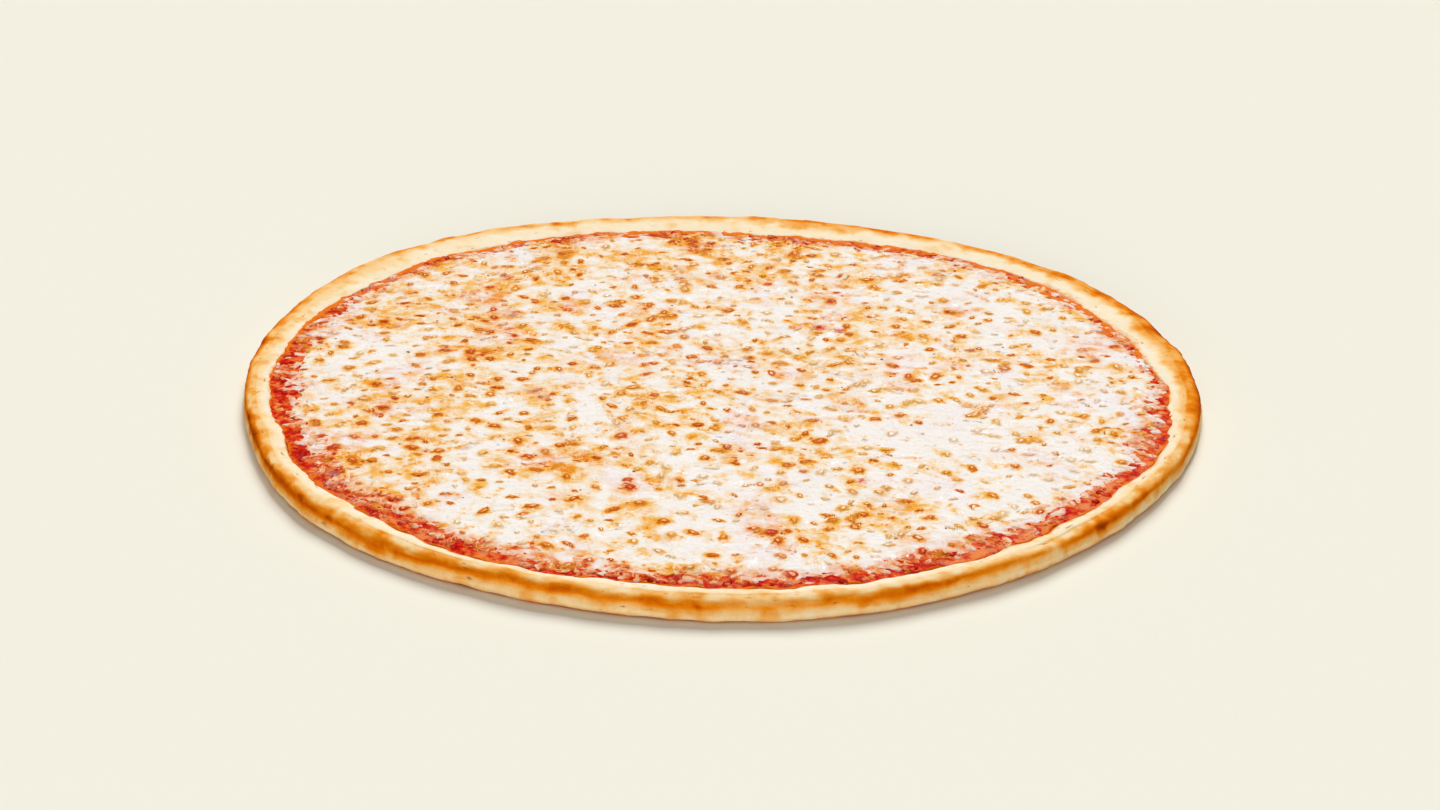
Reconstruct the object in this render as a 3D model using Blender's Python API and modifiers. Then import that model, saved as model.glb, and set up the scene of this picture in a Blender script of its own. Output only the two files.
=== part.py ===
"""A large thin-crust cheese pizza, whole and uncut, lying flat as it comes out of the oven.

Three solids nest in one another: a baked dough base with a low rounded rim, a dish of tomato
sauce that shows as an uneven ring, and the melted cheese with its browned blisters fused on.
Metres, +Z up, the origin under the middle of the base. The front of the pizza is at -Y.
"""

import math
import random

import bmesh
import bpy
from mathutils import Vector, noise

# Driving dimensions, in metres
PIZZA_RADIUS = 0.203
RIM_HEIGHT = 0.0098
DOUGH_FLOOR = 0.0046
GAP = 0.0003

# Section of the rim, its insets measured inwards from the outline: the lower side bulges most at
# BULGE_HEIGHT, a crease runs round above it, and a roll rises from the crease to the crest
FOOT_INSET = 0.0046
BULGE_HEIGHT = 0.0032
CREASE_HEIGHT = 0.0056
ROLL_INSET = 0.0015
ROLL_LIFT = 0.0012
ROLL_END = -25
BULGE_START = 50
CREST_INSET = 0.0072
LIP_HEIGHT = 0.0084
LIP_MIDDLE = (0.55, 0.8)
WALL_SLOPE = 0.0022

# Hand-stretched outline: lobes round the pizza, share of the radius, angle of a peak in degrees
OUTLINE_LOBES = (
    (3, 0.0176, 22.0),
    (4, 0.0067, 41.0),
    (5, 0.0046, -2.0),
    (7, 0.0024, 24.0),
    (8, 0.0022, -6.0),
)

# Places where the rim was pinched: angle in degrees, depth of the dent
DENTS = ((17.0, 0.0012), (42.0, 0.0006), (72.0, 0.0006), (114.0, 0.0008), (134.0, 0.0007), (174.0, 0.0008))
DENT_WIDTH = 3.5
RIM_UNEVEN = 0.0005
RIM_WAVES = ((26, 1.0, 31.0),)

# Sauce, spread nearer to the rim in front than behind
SAUCE_RADIUS = 0.1865
SAUCE_LOBES = (
    (1, 0.0388, -96.0),
    (2, 0.0068, -6.0),
    (3, 0.0134, 20.5),
    (4, 0.0045, 41.0),
    (5, 0.0043, -22.0),
    (6, 0.0070, -12.0),
)
SAUCE_RAGGED = 0.0014
SAUCE_WAVES = ((22, 0.6, 3.1), (60, 0.8, 7.7))
SAUCE_FLOOR_TOP = 0.0068
SAUCE_RING_TOP = 0.0088
SAUCE_EDGE_TOP = LIP_HEIGHT - GAP

# The ring of sauce that the cheese leaves bare, and the stretches where it is widest: angle in
# degrees, half the length of the stretch in degrees, extra width
RING_WIDTH = 0.0052
RING_NARROWEST = 0.0030
RING_RAGGED = 0.0024
RING_WAVES = ((14, 0.8, 12.4), (48, 0.8, 20.9))
RING_STRETCHES = (
    (-172.0, 14.0, 0.0020),
    (-144.0, 10.0, 0.0030),
    (-57.0, 8.0, 0.0035),
    (-38.0, 8.0, 0.0040),
    (-15.0, 8.0, 0.0035),
    (40.0, 7.0, 0.0020),
    (112.0, 10.0, 0.0020),
)

# Melted cheese: its lumps as (waves in a metre, height, seed), and the steps of its rounded edge as
# (share of the radius, share of the drop)
CHEESE_TOP = 0.0093
CHEESE_LUMPS = ((28.0, 0.0006, 0.5), (75.0, 0.0005, 4.5))
CHEESE_EDGE_START = 0.985
CHEESE_EDGE = ((0.993, 0.35), (1.0, 1.0))
CHEESE_EDGE_DROP = 0.0012

# Browned blisters of the cheese: the largest ones only
BLISTER_SEED = 14
BLISTER_COUNT = 105
BLISTER_CANDIDATES = 12
BLISTER_RADIUS = (0.0027, 0.0042)
BLISTER_RISE = 0.0007
BLISTER_SINK = 0.0003
BLISTER_MARGIN = 0.0070
BLISTER_OVAL = 0.2
BLISTER_TURN = 2.4

# Fineness of the solids
TURN_STEPS = 144
CHEESE_GRID = 36
ROLL_STEPS = 4
BULGE_STEPS = 2
FOOT_STEPS = 3
BLISTER_SEGMENTS = 8
BLISTER_RINGS = 4
SHARP_ANGLE = 50

DOUGH_COLOUR = (0.86, 0.62, 0.31, 1.0)
SAUCE_COLOUR = (0.55, 0.06, 0.02, 1.0)
CHEESE_COLOUR = (0.90, 0.78, 0.58, 1.0)


def clear_scene():
    for old in list(bpy.data.objects):
        bpy.data.objects.remove(old, do_unlink=True)


def material(name, colour, roughness):
    made = bpy.data.materials.new(name)
    made.use_nodes = True
    shader = made.node_tree.nodes["Principled BSDF"]
    shader.inputs["Base Color"].default_value = colour
    shader.inputs["Roughness"].default_value = roughness
    shader.inputs["Metallic"].default_value = 0.0
    return made


def ragged(angle, waves):
    """Smooth noise that closes on itself once round the pizza, from (waves in a turn, size, seed)."""
    total = 0.0
    for count, size, seed in waves:
        reach = count / math.tau
        total += size * noise.noise(Vector((math.cos(angle) * reach, math.sin(angle) * reach, seed)))
    return total


def lobed(radius, lobes, angle):
    """A radius that swells into each set of lobes."""
    share = 1.0
    for count, size, peak in lobes:
        share += size * math.cos(count * (angle - math.radians(peak)))
    return radius * share


def bump(angle, centre, half_width):
    """1 at the centre angle, falling smoothly to nothing on both sides. Both are in degrees."""
    away = (math.degrees(angle) - centre + 180.0) % 360.0 - 180.0
    return math.exp(-((away / half_width) ** 2))


def pinch(angle):
    """How far the rim is dented here."""
    return sum(depth * bump(angle, centre, DENT_WIDTH) for centre, depth in DENTS)


def outline_radius(angle):
    """Outer radius of the dough at this angle."""
    return lobed(PIZZA_RADIUS, OUTLINE_LOBES, angle) - pinch(angle)


def sauce_radius(angle):
    """Outer edge of the sauce."""
    return lobed(SAUCE_RADIUS, SAUCE_LOBES, angle) + SAUCE_RAGGED * ragged(angle, SAUCE_WAVES)


def cheese_radius(angle):
    """Outer edge of the cheese: the sauce ring left bare round it is wide in places, narrow in others."""
    width = RING_WIDTH + RING_RAGGED * ragged(angle, RING_WAVES)
    width += sum(extra * bump(angle, centre, half) for centre, half, extra in RING_STRETCHES)
    return sauce_radius(angle) - max(RING_NARROWEST, width)


def crest_radius(angle):
    """Crest of the rim: a fixed way inside the outline, or less where the rim is narrow."""
    nominal = PIZZA_RADIUS - SAUCE_RADIUS
    width = outline_radius(angle) - sauce_radius(angle)
    return outline_radius(angle) - CREST_INSET * min(1.0, width / nominal)


def cheese_height(x, y):
    """Top of the melted cheese, in broad low lumps."""
    height = CHEESE_TOP
    for waves, size, seed in CHEESE_LUMPS:
        height += size * noise.noise(Vector((x * waves, y * waves, seed)))
    return height


def arc(centre, radii, start, end, steps):
    """Points (radius, height) along an elliptic arc, from the start angle to the end angle in degrees."""
    points = []
    for i in range(steps + 1):
        turn = math.radians(start + (end - start) * i / steps)
        points.append((centre[0] + radii[0] * math.cos(turn), centre[1] + radii[1] * math.sin(turn)))
    return points


def applied(made):
    """The object with its modifiers made part of its mesh."""
    graph = bpy.context.evaluated_depsgraph_get()
    mesh = bpy.data.meshes.new_from_object(made.evaluated_get(graph))
    made.modifiers.clear()
    made.data = mesh
    return made


def turned(name, profile):
    """A profile of (radius, height) points, from the axis and back to it, turned once round Z."""
    mesh = bpy.data.meshes.new(name)
    edges = [(i, i + 1) for i in range(len(profile) - 1)]
    mesh.from_pydata([(radius, 0.0, height) for radius, height in profile], edges, [])
    made = bpy.data.objects.new(name, mesh)
    PARTS.objects.link(made)
    screw = made.modifiers.new("turn", "SCREW")
    screw.axis = "Z"
    screw.steps = TURN_STEPS
    screw.render_steps = TURN_STEPS
    screw.use_merge_vertices = True
    screw.merge_threshold = 0.00005
    return applied(made)


def follow_outlines(made, stations):
    """Moves each point outwards or inwards, so that the nominal radii in stations, from the middle
    outwards as (nominal radius, function of the angle), come to lie on their own outlines."""
    for vertex in made.data.vertices:
        radius = math.hypot(vertex.co.x, vertex.co.y)
        if radius < GAP:
            continue
        angle = math.atan2(vertex.co.y, vertex.co.x)
        inner, inner_actual = 0.0, 0.0
        for nominal, outline in stations:
            actual = outline(angle)
            if radius <= nominal or nominal == stations[-1][0]:
                break
            inner, inner_actual = nominal, actual
        share = (radius - inner) / (nominal - inner)
        moved = inner_actual + share * (actual - inner_actual)
        vertex.co.x *= moved / radius
        vertex.co.y *= moved / radius


def finish(made, finish_material):
    """Faces out, smooth except at sharp edges, and one material."""
    work = bmesh.new()
    work.from_mesh(made.data)
    bmesh.ops.recalc_face_normals(work, faces=work.faces)
    work.to_mesh(made.data)
    work.free()
    made.data.materials.clear()
    made.data.materials.append(finish_material)
    made.data.shade_smooth()
    made.data.set_sharp_from_angle(angle=math.radians(SHARP_ANGLE))
    return made


def rim_section():
    """The rim's outer side, from the crest down to the foot: a roll, a crease and a lower bulge."""
    crest = PIZZA_RADIUS - CREST_INSET
    foot = PIZZA_RADIUS - FOOT_INSET
    roll = CREASE_HEIGHT + ROLL_LIFT
    points = arc((crest, roll), (CREST_INSET - ROLL_INSET, RIM_HEIGHT - roll), 90, ROLL_END, ROLL_STEPS)
    bulge = (foot, BULGE_HEIGHT)
    points += arc(bulge, (FOOT_INSET, CREASE_HEIGHT - BULGE_HEIGHT), BULGE_START, 0, BULGE_STEPS)
    points += arc(bulge, (FOOT_INSET, BULGE_HEIGHT), 0, -90, FOOT_STEPS)[1:]
    return points


def make_crust():
    """The dough: flat underneath, a creased side, a rounded crest, and a shallow floor for the sauce."""
    pocket = SAUCE_RADIUS + GAP
    crest = PIZZA_RADIUS - CREST_INSET
    along, rise = LIP_MIDDLE
    profile = [(0.0, DOUGH_FLOOR), (pocket - WALL_SLOPE, DOUGH_FLOOR), (pocket, LIP_HEIGHT)]
    profile += [(pocket + along * (crest - pocket), LIP_HEIGHT + rise * (RIM_HEIGHT - LIP_HEIGHT))]
    profile += rim_section()
    profile += [(0.0, 0.0)]
    crust = turned("crust", profile)
    stations = [
        (pocket - WALL_SLOPE, lambda angle: sauce_radius(angle) + GAP - WALL_SLOPE),
        (pocket, lambda angle: sauce_radius(angle) + GAP),
        (crest, crest_radius),
        (PIZZA_RADIUS, outline_radius),
    ]
    follow_outlines(crust, stations)
    for vertex in crust.data.vertices:
        angle = math.atan2(vertex.co.y, vertex.co.x)
        share = max(0.0, (vertex.co.z - LIP_HEIGHT) / (RIM_HEIGHT - LIP_HEIGHT))
        vertex.co.z += share * (RIM_UNEVEN * ragged(angle, RIM_WAVES) - pinch(angle) / 2)
    return finish(crust, material("baked_dough", DOUGH_COLOUR, 0.6))


def make_sauce():
    """The sauce: thin under the cheese, with a rounded ring that stands up round it."""
    outer = SAUCE_RADIUS
    inner = SAUCE_RADIUS - RING_WIDTH + GAP
    width = outer - inner
    foot = outer - WALL_SLOPE
    profile = [(0.0, SAUCE_FLOOR_TOP), (inner, SAUCE_FLOOR_TOP)]
    profile += [(inner + 0.02 * width, SAUCE_RING_TOP - GAP), (inner + 0.4 * width, SAUCE_RING_TOP)]
    profile += [(outer - 0.15 * width, SAUCE_RING_TOP - GAP), (outer, SAUCE_EDGE_TOP)]
    profile += [(foot, DOUGH_FLOOR + GAP), (0.0, DOUGH_FLOOR + GAP)]
    sauce = turned("sauce", profile)
    stations = [
        (inner, lambda angle: cheese_radius(angle) + GAP),
        (foot, lambda angle: sauce_radius(angle) - WALL_SLOPE),
        (outer, sauce_radius),
    ]
    follow_outlines(sauce, stations)
    return finish(sauce, material("tomato_sauce", SAUCE_COLOUR, 0.35))


def disc_point(u, v):
    """Maps a square from -1 to 1 onto the unit disc in even cells, and gives (share of radius, angle)."""
    if u == v == 0.0:
        return 0.0, 0.0
    if abs(u) > abs(v):
        return abs(u), math.pi / 4 * v / u + (math.pi if u < 0 else 0.0)
    return abs(v), math.pi / 2 - math.pi / 4 * u / v + (math.pi if v < 0 else 0.0)


def make_cheese_sheet():
    """The cheese without blisters: a lumpy top, a rounded ragged edge and a flat underside."""
    work = bmesh.new()
    bmesh.ops.create_grid(work, x_segments=CHEESE_GRID, y_segments=CHEESE_GRID, size=1.0)
    for vertex in work.verts:
        share, angle = disc_point(vertex.co.x, vertex.co.y)
        radius = share * CHEESE_EDGE_START * cheese_radius(angle)
        x, y = radius * math.cos(angle), radius * math.sin(angle)
        vertex.co = Vector((x, y, cheese_height(x, y)))
    rim = [edge for edge in work.edges if edge.is_boundary]
    for share, drop in (*CHEESE_EDGE, (1.0, None)):
        made = bmesh.ops.extrude_edge_only(work, edges=rim)["geom"]
        rim = [part for part in made if isinstance(part, bmesh.types.BMEdge)]
        for vertex in [part for part in made if isinstance(part, bmesh.types.BMVert)]:
            angle = math.atan2(vertex.co.y, vertex.co.x)
            radius = share * cheese_radius(angle)
            x, y = radius * math.cos(angle), radius * math.sin(angle)
            under = SAUCE_FLOOR_TOP + GAP
            height = under if drop is None else cheese_height(x, y) - CHEESE_EDGE_DROP * drop
            vertex.co = Vector((x, y, height))
    bmesh.ops.holes_fill(work, edges=rim, sides=0)
    bmesh.ops.recalc_face_normals(work, faces=work.faces)
    mesh = bpy.data.meshes.new("cheese")
    work.to_mesh(mesh)
    work.free()
    made = bpy.data.objects.new("cheese", mesh)
    PARTS.objects.link(made)
    return made


def blister_places():
    """Where the largest blisters lie: each is the candidate farthest from those before it, so that they
    spread evenly. Gives (x, y, radius)."""
    draw = random.Random(BLISTER_SEED)
    places = []
    while len(places) < BLISTER_COUNT:
        best, best_space = None, -1.0
        for _ in range(BLISTER_CANDIDATES):
            angle = draw.uniform(0.0, math.tau)
            radius = (cheese_radius(angle) - BLISTER_MARGIN) * math.sqrt(draw.random())
            x, y = radius * math.cos(angle), radius * math.sin(angle)
            space = min((math.hypot(x - px, y - py) for px, py, _ in places), default=1.0)
            if space > best_space:
                best, best_space = (x, y), space
        places.append((best[0], best[1], draw.uniform(*BLISTER_RADIUS)))
    return places


def make_blisters(group):
    """Low domes, their lower halves sunk in the cheese."""
    for number, (x, y, radius) in enumerate(blister_places()):
        mesh = bpy.data.meshes.new(f"blister_{number}")
        work = bmesh.new()
        bmesh.ops.create_uvsphere(
            work, u_segments=BLISTER_SEGMENTS, v_segments=BLISTER_RINGS, radius=1.0
        )
        work.to_mesh(mesh)
        work.free()
        blister = bpy.data.objects.new(f"blister_{number}", mesh)
        oval = 1.0 - BLISTER_OVAL * (1.0 + math.cos(number)) / 2
        blister.location = (x, y, cheese_height(x, y) - BLISTER_SINK)
        blister.scale = (radius, radius * oval, BLISTER_RISE + BLISTER_SINK)
        blister.rotation_euler.z = number * BLISTER_TURN
        group.objects.link(blister)


def make_cheese():
    """The cheese sheet and its blisters joined into one body."""
    cheese = make_cheese_sheet()
    blisters = bpy.data.collections.new("blisters")
    bpy.context.scene.collection.children.link(blisters)
    make_blisters(blisters)
    bpy.context.view_layer.update()
    union = cheese.modifiers.new("fuse", "BOOLEAN")
    union.operation = "UNION"
    union.operand_type = "COLLECTION"
    union.collection = blisters
    union.solver = "EXACT"
    applied(cheese)
    for blister in list(blisters.objects):
        bpy.data.objects.remove(blister, do_unlink=True)
    bpy.data.collections.remove(blisters)
    return finish(cheese, material("melted_cheese", CHEESE_COLOUR, 0.4))


def centre_on_origin(crust, others):
    """Shifts all the solids sideways, so that the origin is under the middle of the crust's own box."""
    xs = [vertex.co.x for vertex in crust.data.vertices]
    ys = [vertex.co.y for vertex in crust.data.vertices]
    middle = Vector(((min(xs) + max(xs)) / 2, (min(ys) + max(ys)) / 2, 0.0))
    for made in (crust, *others):
        for vertex in made.data.vertices:
            vertex.co -= middle


clear_scene()
PARTS = bpy.data.collections.new("cheese_pizza")
bpy.context.scene.collection.children.link(PARTS)
centre_on_origin(make_crust(), [make_sauce(), make_cheese()])
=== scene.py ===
"""The looks of a large cheese pizza: fine dough, sauce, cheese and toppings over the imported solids.

The outlines of the rim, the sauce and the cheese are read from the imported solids, so the fine pieces
stay where those are. Metres, +Z up, the front of the pizza at -Y.
"""

import random
from math import cos, pi, radians, sin, sqrt, tau

import bmesh
import bpy
import numpy as np
from mathutils import Matrix, Vector, noise
from mathutils.bvhtree import BVHTree


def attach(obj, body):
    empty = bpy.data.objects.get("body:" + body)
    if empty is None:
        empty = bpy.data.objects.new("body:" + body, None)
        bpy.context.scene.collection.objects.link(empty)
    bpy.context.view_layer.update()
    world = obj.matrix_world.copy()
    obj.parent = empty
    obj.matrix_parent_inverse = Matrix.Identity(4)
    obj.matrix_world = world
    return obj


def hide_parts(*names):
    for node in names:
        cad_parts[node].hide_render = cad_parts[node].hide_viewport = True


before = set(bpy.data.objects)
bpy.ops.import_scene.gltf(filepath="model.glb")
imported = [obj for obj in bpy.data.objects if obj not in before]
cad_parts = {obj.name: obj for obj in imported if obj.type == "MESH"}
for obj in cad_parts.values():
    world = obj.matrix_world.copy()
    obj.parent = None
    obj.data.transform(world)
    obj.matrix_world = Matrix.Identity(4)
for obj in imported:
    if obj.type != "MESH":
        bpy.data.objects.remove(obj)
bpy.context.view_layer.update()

# Heights of the layers, in metres
DOUGH_FLOOR = 0.0046
LIP_HEIGHT = 0.0084
RIM_HEIGHT = 0.0098
SAUCE_FLOOR = 0.0049
SAUCE_TOP = 0.0088
CHEESE_UNDER = 0.0071
GAP = 0.0003
EDGE_SINK = 0.0006

# Width of the ring of sauce in view: its mean, how much wider it is at one side, and the angle there
RING_WIDTH = 0.0034
RING_LEAN = 0.0024
RING_WIDE_SIDE = -135.0
NARROWEST_RING = 0.0003

# Section of the rim: a roll above a crease, and a lower bulge
CREST_INSET = 0.0072
FOOT_INSET = 0.0046
BULGE_HEIGHT = 0.0032
CREASE_HEIGHT = 0.0056
ROLL_INSET = 0.0009
ROLL_LIFT = 0.0012
WALL_SLOPE = 0.0022
NARROW_RIM = 0.0165

# Fineness of the pieces
TURNS = 1440
CHEESE_GRID = 300
ANGLES = np.arange(TURNS) * tau / TURNS

# Places round the rim, in degrees from +X towards the back, as (angle, half-width, amount): a scorched or
# pale crease, browning over the lip, pleats, a higher or lower crease, a wider or narrower ring of sauce,
# milky sauce, and dough soaked with oil
SCORCHES = (
    (-118, 14, 0.30), (-97, 6, 0.30), (-84, 4, -0.20), (-68, 7, 0.25),
    (-50, 1.6, -0.55), (-42, 7, 0.35), (-24, 5, -0.30), (0, 9, 0.30),
    (-158, 16, 0.35), (170, 12, 0.20), (144, 8, 0.25), (36, 9, 0.15),
)
LIP_BROWNING = (
    (175, 22, 0.7), (145, 8, 0.4), (-8, 12, 0.5), (35, 9, 0.4), (-35, 14, 0.3),
)
PLEATS = (
    (12.5, 1.6, 0.0009), (37, 2, 0.0006), (109, 1.5, 0.0006), (129, 2, 0.0007),
    (169, 1.5, 0.0006),
)
CREASE_SHIFTS = (
    (-129, 6, -0.0008), (-114, 7, 0.0010), (-102, 6, 0.0006), (-88, 6, -0.0005),
    (-54, 11, 0.0016), (-30, 8, 0.0010),
)
RING_BAYS = (
    (-168, 12, 0.0021), (-101, 12, -0.0032), (-78, 6, -0.0008), (-55, 6, 0.0044),
    (-37, 6, 0.0014), (-27, 4, -0.0014), (-15, 8, 0.0036), (13, 11, -0.0011),
    (42, 10, 0.0017), (96, 7, -0.0014), (122, 5, -0.0012), (142, 12, -0.0037),
    (166, 5, -0.0022),
)
MILKY = (
    (-40, 30, 0.35), (-145, 12, 0.15), (45, 40, 0.2), (110, 40, 0.2),
    (-172, 16, -0.4), (-78, 8, -0.4),
)
OIL_STAINS = (
    (16, 8, 0.0060), (34, 6, 0.0050), (-38, 6, 0.0015), (128, 9, 0.0030),
)

# Layers of noise round the rim, as (amount, waves in a turn, seed)
RIM_RIPPLE = ((0.0003, 90, 3.3),)
RIM_LIFT = ((0.10, 24, 8.8),)
CREASE_WANDER = ((0.0007, 30, 15.5), (0.0003, 110, 16.5))
BAND_STRENGTH = ((0.36, 16, 2.2), (0.12, 55, 6.2))
SAUCE_WANDER = ((0.0022, 40, 11.5), (0.0014, 115, 12.5))
SAUCE_SPLASHES = ((0.0026, 110, 4.4), (0.0016, 300, 5.4))
CHEESE_RAGGED = ((0.0062, 56, 1.5), (0.0024, 150, 2.5), (0.0010, 280, 3.5))

# Layers of noise in space, as (amount, size of its lumps in metres, seed, octaves)
DOUGH_SWELL = ((0.00045, 0.014, 5.0, 2), (0.00016, 0.0040, 9.0, 2))
CHEESE_SWELL = ((0.00028, 0.016, 3.0, 2), (0.00022, 0.006, 8.0, 2))

# How far the sauce reaches past its rim over the lip, how far past that rim the cheese reaches at most,
# and how far past its own outline in general
SAUCE_OVERLAP = 0.0010
CHEESE_OVERLAP = 0.0004
CHEESE_REACH = 0.0008

# Where points stand on the floor and the base of the dough, as shares of their radius, and how many
# columns of points the lip and the ring of sauce have
FLOOR_SHARES = (0.3, 0.7, 0.95)
BASE_SHARES = (0.985, 0.95, 0.85, 0.7, 0.5, 0.3, 0.1)
LIP_COLUMNS = 18
RING_COLUMNS = 22

# The rounded edge of the cheese from its top down, as (distance outwards, drop); the last is as low as
# the underside
CHEESE_ROUNDING = ((0.0009, 0.0003), (0.0015, 0.0008), (0.0018, 0.0014), (0.0012, None))

# Places on the cheese, in millimetres, as (x, y, radius, amount): golden patches, plain white ones, and
# holes where the sauce shows through
GOLDEN = (
    (-107, 92, 18, 0.8), (-108, 24, 13, 1.0), (-123, -10, 12, 0.9), (46, 30, 12, 0.7),
    (52, -12, 11, 1.0), (20, -40, 16, 0.8), (-16, -49, 12, 0.8), (-61, -93, 15, 0.9),
    (68, -127, 14, 1.0), (24, -146, 12, 0.9), (46, 90, 12, 0.9), (74, 54, 13, 0.7),
    (-31, 136, 12, 0.9), (-78, 150, 16, 0.9), (30, 156, 16, 0.8), (150, 32, 14, 0.5),
    (-150, -90, 18, 0.8), (-18, 160, 14, 0.9), (38, 116, 14, 0.7), (-98, 55, 16, 0.7),
)
WHITE = (
    (18, 78, 22, 1.0), (46, 142, 14, 0.9), (82, -50, 34, 1.0), (96, -112, 24, 0.9),
    (-150, 16, 22, 0.9), (-16, -78, 20, 0.8), (-96, -128, 22, 0.9), (2, -128, 16, 0.8),
    (120, -70, 20, 0.8), (-55, 90, 16, 0.7), (100, 100, 18, 0.7),
)
HOLES = (
    (42, 60, 4.5, 1.0), (51, 56, 4, 0.9), (55, -98, 4, 0.8), (-141, -43, 4, 0.8), (6, -36, 2.2, 1.0),
    (-100, 114, 5, 0.7), (-94, 52, 4, 0.7), (-40, 100, 3.5, 0.6), (-118, -78, 3.5, 0.7),
    (120, 60, 3, 0.5),
)

# How baked the dough is along its section: 0 at the inner edge of the lip, 1 at the crest, 2 at the foot,
# how much finer its mottling is up the side than along it, how far the browning moves along the section
# for each metre that the crease moves, how baked it stays where the band is weakest, and its pores.
# The dark bake at the foot is partly the browned underside and partly painted shade where it meets the
# floor
BAKE_PLACES = (0.0, 0.5, 0.8, 0.93, 1.0, 1.03, 1.09, 1.15, 1.24, 1.34, 1.46, 1.60, 1.76, 1.90, 2.0)
BAKES = (0.06, 0.09, 0.13, 0.17, 0.23, 0.33, 0.46, 0.57, 0.67, 0.63, 0.45, 0.30, 0.22, 0.28, 0.70)
STREAKS = 5.0
CREASE_PULL = 40.0
LEAST_BAKED = 0.15
PORES = 300

# Colours as (tone, colour): cheese from plain to browned where it is firm, dough from pale to dark,
# sauce, scraps of tomato, herb flakes, and cheese where the sauce under it shines through
FIRM_TONES = (
    (0.05, (250, 243, 236)), (0.20, (250, 235, 216)), (0.36, (250, 219, 178)),
    (0.52, (248, 196, 126)), (0.66, (245, 170, 66)), (0.78, (238, 138, 18)), (0.90, (218, 96, 4)),
    (1.00, (186, 54, 0)),
)
DOUGH_TONES = (
    (0.00, (254, 240, 212)), (0.12, (254, 230, 188)), (0.26, (252, 210, 146)),
    (0.42, (248, 178, 88)), (0.60, (238, 138, 16)), (0.80, (216, 100, 0)), (1.00, (158, 60, 0)),
)
SAUCE_TONES = (
    (0.30, (172, 6, 0)), (0.45, (204, 20, 2)), (0.53, (220, 54, 6)), (0.60, (228, 90, 28)),
    (0.68, (238, 130, 62)), (0.80, (246, 172, 104)),
)
TOMATO_TONES = (
    (0.05, (136, 16, 0)), (0.25, (186, 14, 0)), (0.60, (208, 26, 6)), (0.80, (222, 70, 30)),
    (1.00, (236, 110, 40)),
)
HERB_TONES = ((0.0, (150, 112, 30)), (0.5, (176, 104, 30)), (1.0, (180, 80, 20)))
ROSY_TONES = (
    (0.05, (248, 239, 236)), (0.22, (247, 226, 214)), (0.40, (245, 204, 178)),
    (0.56, (242, 174, 128)), (0.72, (234, 130, 62)), (0.86, (216, 72, 14)), (1.00, (186, 24, 0)),
)

# Blisters: how many, their radii, how many radii away one still counts, the turn from one to the next in
# radians, and how oval they are. A place is the best of a few tries, so that they spread evenly
BLISTERS = 1000
BLISTER_SIZES = (0.0011, 0.0027)
BLISTER_FAR = 3.0
BLISTER_TURN = 2.4
BLISTER_STRETCH = 1.35
BLISTER_TRIES = 4

# Angles in degrees of the strands that the cheese has melted into, and their width and length
STRAND_ANGLES = (20.0, 85.0, 145.0)
STRAND_WIDTH = 0.0024
STRAND_LENGTH = 0.0085

# Small pieces: how many there are of each
EDGE_SHREDS = 420
INNER_SHREDS = 200
EDGE_LUMPS = 170
TOMATO_SCRAPS = 90
HERB_FLAKES = 70

# Section of a shred of cheese, as (across, up) in half-widths and heights, its number of stations, and
# its height as a share of its half-width
SHRED_SECTION = ((-1.3, -2.4), (-0.9, -0.5), (-0.5, 0.6), (0.0, 1.0), (0.5, 0.6), (0.9, -0.5), (1.3, -2.4))
SHRED_STATIONS = 7
EDGE_SHRED_HEIGHT = 0.16
INNER_SHRED_HEIGHT = 0.11

# Brightness of a white level surface under the scene's light
LIGHT_LEVEL = 1.10


def mesh_rows(mesh, values="co"):
    """The places of a mesh's vertices, or their normals, one row each."""
    rows = np.empty(len(mesh.vertices) * 3)
    mesh.vertices.foreach_get(values, rows)
    return rows.reshape(-1, 3)


def blurred(values, half):
    """Running mean over a closed ring of values."""
    width = 2 * half + 1
    closed = np.concatenate([values[-half:], values, values[:half]])
    return np.convolve(closed, np.ones(width) / width, "valid")


def outer_edge(node, low, high, bins=140):
    """Radius of a node's outer edge at each of ANGLES, from its vertices between two heights."""
    points = mesh_rows(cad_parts[node].data)
    points = points[(points[:, 2] > low) & (points[:, 2] < high)]
    turns = np.arctan2(points[:, 1], points[:, 0]) % tau
    radii = np.hypot(points[:, 0], points[:, 1])
    numbers = (turns / tau * bins).astype(int)
    order = np.lexsort((radii, numbers))
    last = np.append(np.diff(numbers[order]) != 0, True)
    outermost = order[last]
    edge = np.interp(ANGLES, turns[outermost], radii[outermost], period=tau)
    return blurred(edge, TURNS // 240)


def at_angle(values, angles):
    """The ring of values read off at any angles."""
    return np.interp(angles, ANGLES, values, period=tau)


def ring_noise(waves, seed):
    """Smooth noise from -1 to 1 at each of ANGLES, with about that many waves in a turn."""
    reach = waves / tau
    return np.array([noise.noise((cos(a) * reach, sin(a) * reach, seed)) for a in ANGLES])


def rough(points, size, seed, octaves=1):
    """Smooth noise, about -1 to 1, in lumps of this size in metres, at each point."""
    rows = (points / size + seed).tolist()
    return np.array([noise.fractal(row, 1.0, 2.0, octaves) for row in rows])


def ring_layers(layers):
    """Sum of layers of noise at each of ANGLES, from (amount, waves, seed)."""
    return sum(amount * ring_noise(waves, seed) for amount, waves, seed in layers)


def rough_layers(points, layers):
    """Sum of layers of noise at each point, from (amount, size, seed, octaves)."""
    return sum(amount * rough(points, size, seed, octaves) for amount, size, seed, octaves in layers)


def bumps(places):
    """Sum of smooth bumps at each of ANGLES, from (angle, half-width, height), the first two in degrees."""
    total = np.zeros(TURNS)
    for centre, half, height in places:
        away = (np.degrees(ANGLES) - centre + 180.0) % 360.0 - 180.0
        total += height * np.exp(-((away / half) ** 2))
    return total


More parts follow.
